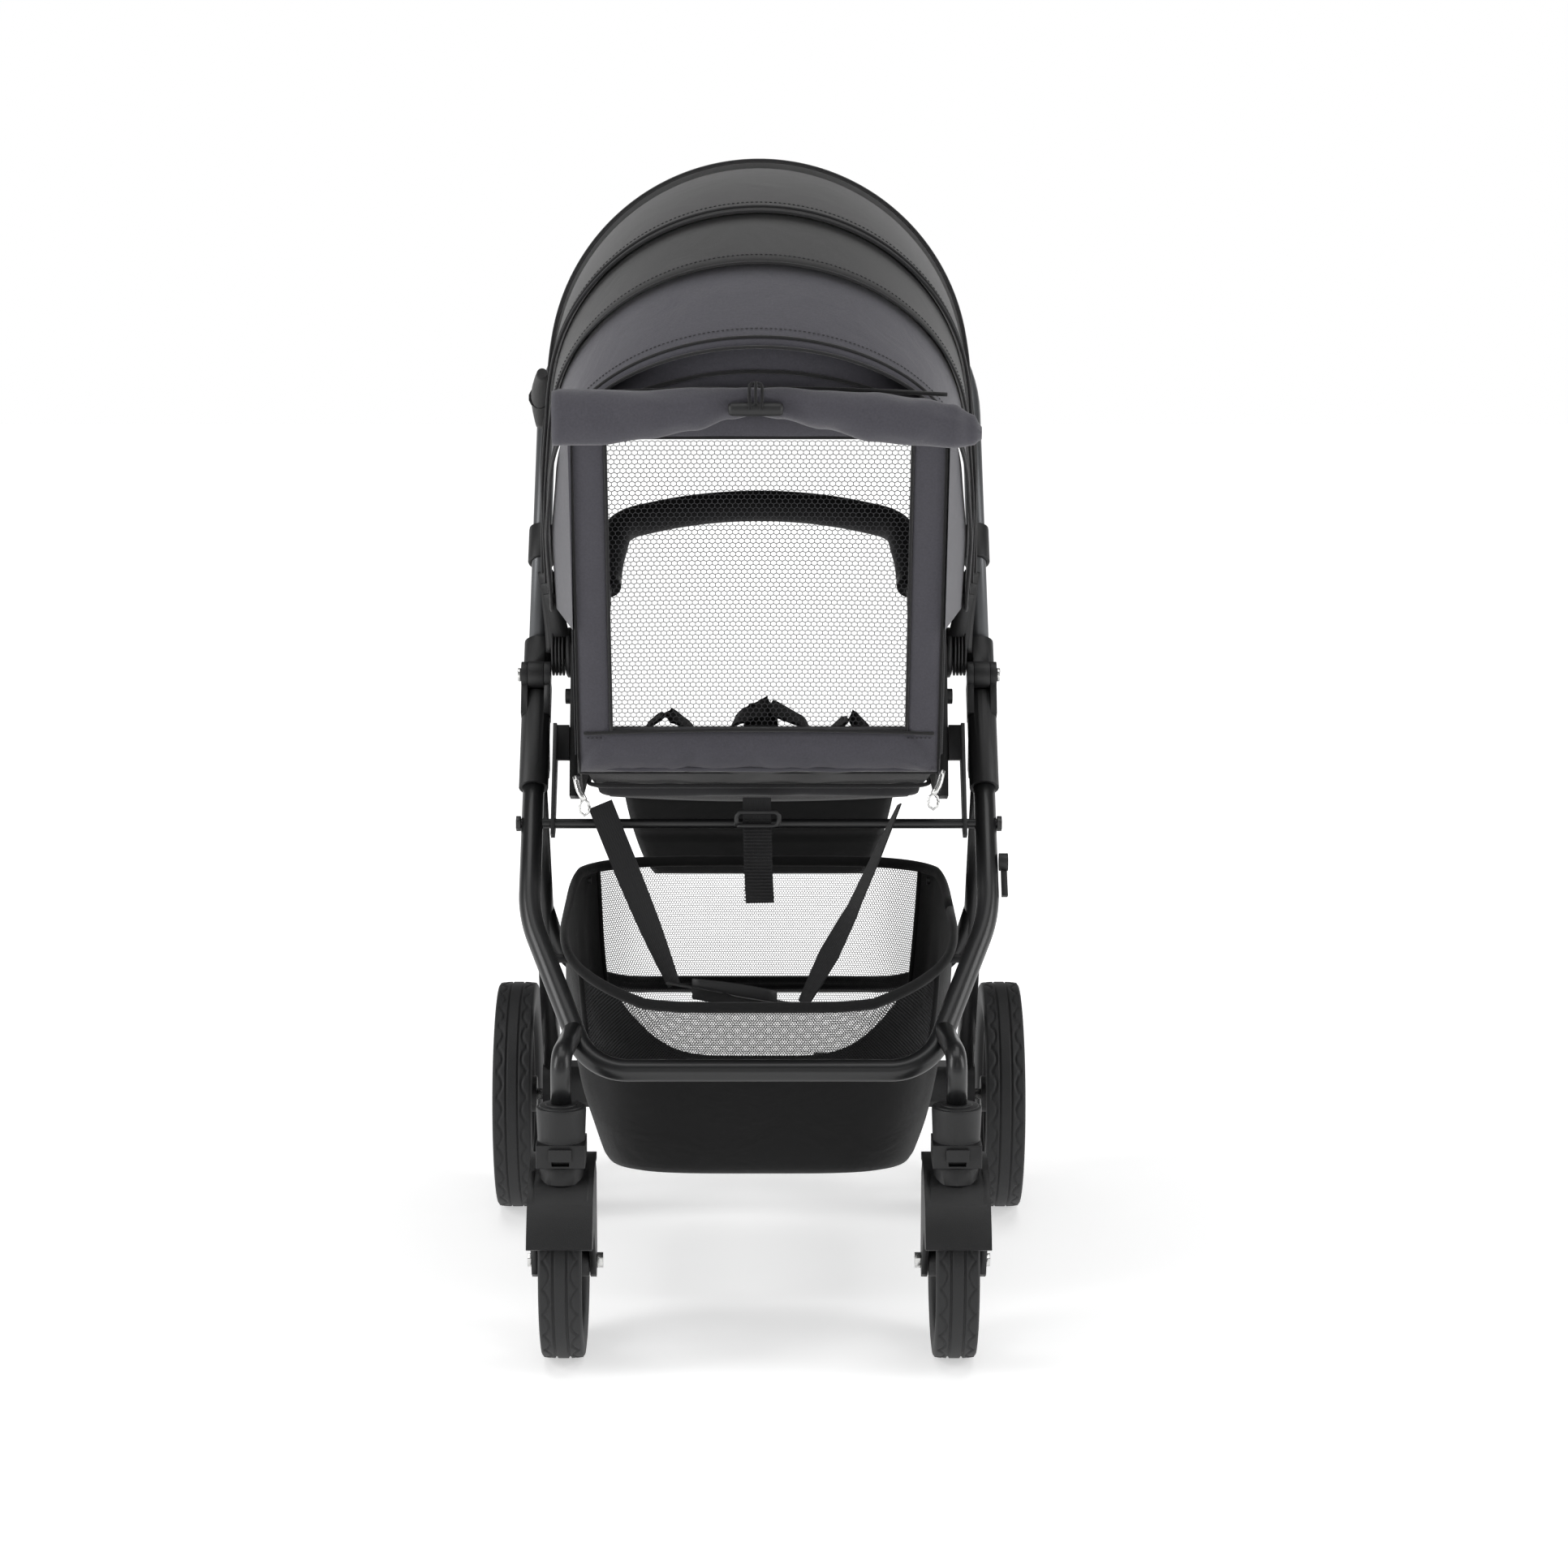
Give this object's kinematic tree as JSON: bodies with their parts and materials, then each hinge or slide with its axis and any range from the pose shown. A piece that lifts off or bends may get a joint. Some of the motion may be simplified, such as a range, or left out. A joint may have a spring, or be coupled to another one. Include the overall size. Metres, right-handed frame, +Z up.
{
  "type": "pet stroller",
  "caption": "Pet stroller with a folding frame, swivel front wheels, spoked rear wheels, reclining seat with a mesh back window, telescoping hood, bumper bar and basket.",
  "frame": {"origin": "on the floor, at the centre of the outline", "axes": "+Z up; -Y towards the swivel wheels, where the seat back with its window faces; +Y towards the push handle; +X to the right seen from the window side"},
  "size_m": [0.579, 0.768, 1.153],
  "materials": {
    "tube_dark": "satin black powder coat",
    "tube_grey": "satin grey anodised",
    "plastic": "fine matte moulded plastic",
    "silver": "bright zinc plated",
    "tyre": "dark grey solid rubber",
    "foam": "black foam sleeve",
    "canopy": "charcoal woven polyester",
    "flap": "charcoal woven polyester, cooler tone",
    "mesh": "black open mesh",
    "webbing": "black webbing",
    "basket": "near-black fabric"
  },
  "bodies": {
    "chassis": {"front_frame": "tube_dark", "caster_socket_r": "plastic", "caster_socket_l": "plastic", "fold_hinge_lower_r": "plastic", "fold_hinge_lower_l": "plastic", "fold_pin_r": "silver", "fold_pin_l": "silver", "cross_rod": "tube_dark", "seat_receiver_r": "plastic", "seat_receiver_l": "plastic", "seat_upright_r": "plastic", "seat_upright_l": "plastic", "basket": "basket"},
    "rear_legs": {"rear_frame": "tube_dark", "rear_axle_beam": "plastic", "rear_axle": "silver"},
    "push_handle": {"handle_tube": "tube_grey", "handle_grip": "foam", "fold_hinge_upper_r": "plastic", "fold_hinge_upper_l": "plastic"},
    "caster_r": {"caster_fork_r": "plastic", "front_axle_r": "silver"},
    "caster_l": {"caster_fork_l": "plastic", "front_axle_l": "silver"},
    "front_wheel_r": {"front_tyre_r": "tyre", "front_rim_r": "plastic"},
    "front_wheel_l": {"front_tyre_l": "tyre", "front_rim_l": "plastic"},
    "rear_wheel_r": {"rear_tyre_r": "tyre", "rear_rim_r": "plastic"},
    "rear_wheel_l": {"rear_tyre_l": "tyre", "rear_rim_l": "plastic"},
    "caster_lock_r": {"swivel_lock_r": "plastic"},
    "caster_lock_l": {"swivel_lock_l": "plastic"},
    "slider_r": {"fold_slider_r": "plastic"},
    "slider_l": {"fold_slider_l": "plastic"},
    "pedal": {"brake_pedal": "plastic"},
    "latch": {"storage_latch": "plastic"},
    "button_r": {"seat_button_r": "plastic"},
    "button_l": {"seat_button_l": "plastic"},
    "seat": {"seat_frame": "tube_dark", "seat_hub_r": "plastic", "seat_hub_l": "plastic", "seat_pad": "flap", "backrest": "flap", "back_window": "mesh", "cabin_side_r": "canopy", "cabin_side_l": "canopy", "bottom_flap": "canopy", "rolled_flap": "flap", "pull_strap": "webbing", "recline_straps": "webbing", "canopy_rear": "flap", "canopy_fixed": "flap"},
    "bumper": {"bumper_bar": "foam"},
    "leg_rest": {"legrest": "basket"},
    "hood_mid": {"canopy_mid": "canopy"},
    "hood_top": {"canopy_top": "canopy"},
    "hood_visor": {"canopy_visor": "canopy"}
  },
  "joints": [
    {"name": "handle_fold", "type": "hinge", "parent": "chassis", "child": "push_handle", "pos_m": [0, -0.00002, 0.63177], "axis": [1, 0, 0], "range_deg": [0, 170]},
    {"name": "rear_legs_fold", "type": "hinge", "parent": "chassis", "child": "rear_legs", "pos_m": [0, -0.01374, 0.54], "axis": [1, 0, 0], "range_deg": [-48, 0], "deforming": ["basket"]},
    {"name": "caster_swivel_r", "type": "hinge", "parent": "chassis", "child": "caster_r", "pos_m": [0.19, -0.32074, 0.2], "axis": [0, 0, 1], "continuous": true},
    {"name": "front_wheel_spin_r", "type": "hinge", "parent": "caster_r", "child": "front_wheel_r", "pos_m": [0.19, -0.28574, 0.095], "axis": [1, 0, 0], "continuous": true},
    {"name": "rear_wheel_spin_r", "type": "hinge", "parent": "rear_legs", "child": "rear_wheel_r", "pos_m": [0.268, 0.24426, 0.125], "axis": [1, 0, 0], "continuous": true},
    {"name": "caster_lock_slide_r", "type": "slide", "parent": "chassis", "child": "caster_lock_r", "axis": [0, 0, -1], "range_m": [0, 0.005]},
    {"name": "fold_slider_pull_r", "type": "slide", "parent": "push_handle", "child": "slider_r", "axis": [0, 0.64, 0.7684], "range_m": [0, 0.015], "stiffness_N_per_m": 700, "springref_m": -0.004},
    {"name": "seat_button_press_r", "type": "slide", "parent": "chassis", "child": "button_r", "axis": [-1, 0, 0], "range_m": [0, 0.004], "stiffness_N_per_m": 800},
    {"name": "caster_swivel_l", "type": "hinge", "parent": "chassis", "child": "caster_l", "pos_m": [-0.19, -0.32074, 0.2], "axis": [0, 0, 1], "continuous": true},
    {"name": "front_wheel_spin_l", "type": "hinge", "parent": "caster_l", "child": "front_wheel_l", "pos_m": [-0.19, -0.28574, 0.095], "axis": [1, 0, 0], "continuous": true},
    {"name": "rear_wheel_spin_l", "type": "hinge", "parent": "rear_legs", "child": "rear_wheel_l", "pos_m": [-0.268, 0.24426, 0.125], "axis": [1, 0, 0], "continuous": true},
    {"name": "caster_lock_slide_l", "type": "slide", "parent": "chassis", "child": "caster_lock_l", "axis": [0, 0, -1], "range_m": [0, 0.005]},
    {"name": "fold_slider_pull_l", "type": "slide", "parent": "push_handle", "child": "slider_l", "axis": [0, 0.64, 0.7684], "range_m": [0, 0.015], "stiffness_N_per_m": 700, "springref_m": -0.004},
    {"name": "seat_button_press_l", "type": "slide", "parent": "chassis", "child": "button_l", "axis": [1, 0, 0], "range_m": [0, 0.004], "stiffness_N_per_m": 800},
    {"name": "brake_pedal_press", "type": "hinge", "parent": "rear_legs", "child": "pedal", "pos_m": [0, 0.27426, 0.141], "axis": [1, 0, 0], "range_deg": [-14, 0]},
    {"name": "storage_latch_turn", "type": "hinge", "parent": "chassis", "child": "latch", "pos_m": [0.24, -0.12074, 0.459], "axis": [1, 0, 0], "range_deg": [-60, 0]},
    {"name": "seat_recline", "type": "hinge", "parent": "chassis", "child": "seat", "pos_m": [0, 0.01426, 0.653], "axis": [1, 0, 0], "range_deg": [0, 10]},
    {"name": "bumper_swing", "type": "hinge", "parent": "seat", "child": "bumper", "pos_m": [0, 0.04426, 0.7], "axis": [1, 0, 0], "range_deg": [0, 75]},
    {"name": "legrest_lift", "type": "hinge", "parent": "seat", "child": "leg_rest", "pos_m": [0, 0.15226, 0.536], "axis": [1, 0, 0], "range_deg": [0, 55]},
    {"name": "canopy_visor_fold", "type": "hinge", "parent": "seat", "child": "hood_visor", "pos_m": [0, 0.01426, 0.653], "axis": [1, 0, 0], "range_deg": [0, 46]},
    {"name": "canopy_top_fold", "type": "hinge", "parent": "seat", "child": "hood_top", "pos_m": [0, 0.01426, 0.653], "axis": [1, 0, 0], "range_deg": [0, 23]},
    {"name": "canopy_mid_fold", "type": "hinge", "parent": "seat", "child": "hood_mid", "pos_m": [0, 0.01426, 0.653], "axis": [1, 0, 0], "range_deg": [0, 13]}
  ],
  "couplings": [
    {"joint": "rear_legs_fold", "follows": "handle_fold", "ratio": -0.28235},
    {"joint": "canopy_top_fold", "follows": "canopy_visor_fold", "ratio": 0.5},
    {"joint": "canopy_mid_fold", "follows": "canopy_visor_fold", "ratio": 0.2826}
  ]
}
